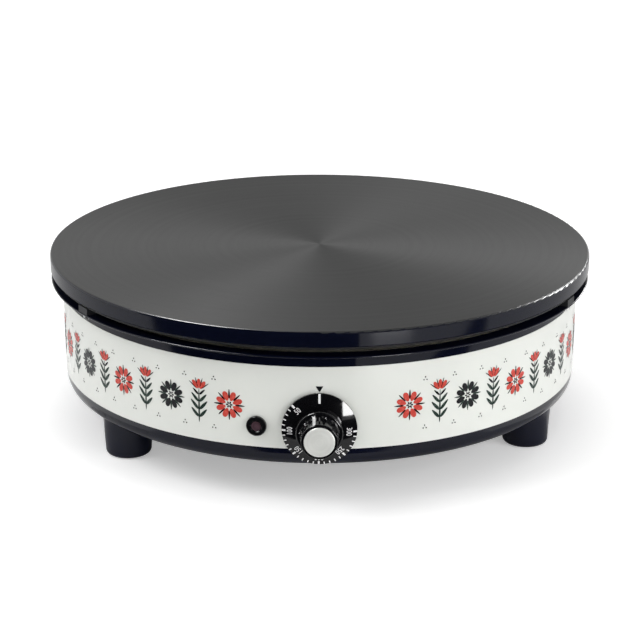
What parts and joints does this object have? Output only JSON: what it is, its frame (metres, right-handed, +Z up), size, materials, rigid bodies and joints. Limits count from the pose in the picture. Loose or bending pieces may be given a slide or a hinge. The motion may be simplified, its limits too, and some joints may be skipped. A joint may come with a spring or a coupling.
{
  "type": "electric crepe maker",
  "caption": "Round electric crepe maker: a flat cast iron cooking plate on a low drum pan with short tapered feet, a graduated thermostat knob and a pilot lamp on the front.",
  "frame": {"origin": "on the floor, under the middle of the cooking plate", "axes": "+Z up through the middle of the plate, the knob and the lamp face -Y, +X to the right of someone who stands in front"},
  "size_m": [0.3999, 0.4353, 0.1284],
  "materials": {
    "plate_iron": "turned grey iron, fine concentric grooves on top",
    "dark_enamel": "glossy blue-black enamel",
    "white_enamel": "smooth white enamel with a printed frieze",
    "dark_steel": "satin black coating",
    "zinc_steel": "bright zinc plating",
    "element_steel": "heat-tinted tube",
    "bright_sheet": "plain aluminised sheet",
    "mineral_wool": "pressed mineral fibre",
    "copper": "drawn copper",
    "foot_plastic": "glossy moulded black",
    "knob_plastic": "polished black with white marks",
    "turned_aluminium": "spun face",
    "cream_ceramic": "matt pressed ceramic",
    "brass": "stamped",
    "bezel_plastic": "glossy black",
    "red_lens": "dark red, unlit",
    "gland_plastic": "fine moulded texture",
    "block_plastic": "moulded white",
    "brown_wire": "sleeved wire",
    "blue_wire": "sleeved wire",
    "green_wire": "sleeved wire"
  },
  "bodies": {
    "housing": {"griddle_plate": "plate_iron", "plate_spacers": "dark_steel", "plate_studs": "zinc_steel", "plate_nuts": "zinc_steel", "centre_stud": "zinc_steel", "centre_nuts": "zinc_steel", "centre_washers": "zinc_steel", "heating_element": "element_steel", "element_bushes": "zinc_steel", "element_pins": "zinc_steel", "clamp_plate": "bright_sheet", "insulation_blanket": "mineral_wool", "insulation_tray": "bright_sheet", "sensing_bulb": "copper", "bulb_holder": "bright_sheet", "capillary_tube": "copper", "casing": "dark_enamel", "decor_band": "white_enamel", "base_cover": "dark_steel", "base_screws": "zinc_steel", "feet": "foot_plastic", "foot_screws": "zinc_steel", "foot_nuts": "zinc_steel", "thermostat_bracket": "bright_sheet", "bracket_screws": "zinc_steel", "bracket_nuts": "zinc_steel", "thermostat_body": "cream_ceramic", "thermostat_blades": "brass", "thermostat_screws": "zinc_steel", "lamp_bezel": "bezel_plastic", "lamp_lens": "red_lens", "lamp_body": "cream_ceramic", "lamp_nut": "zinc_steel", "cord_gland": "gland_plastic", "gland_cap": "gland_plastic", "gland_nut": "gland_plastic", "terminal_block": "block_plastic", "terminal_screws": "brass", "block_screws": "zinc_steel", "earth_stud": "zinc_steel", "earth_nut": "zinc_steel", "thermal_cutout": "dark_steel", "cutout_screws": "zinc_steel", "live_wires": "brown_wire", "neutral_wires": "blue_wire", "earth_wire": "green_wire"},
    "dial": {"thermostat_spindle": "zinc_steel", "knob": "knob_plastic", "knob_cap": "turned_aluminium", "spindle_clip": "zinc_steel"}
  },
  "joints": [
    {"name": "knob_turn", "type": "hinge", "parent": "housing", "child": "dial", "pos_m": [0, -0.1923, 0.0572], "axis": [0, 1, 0], "range_deg": [0, 270]}
  ]
}
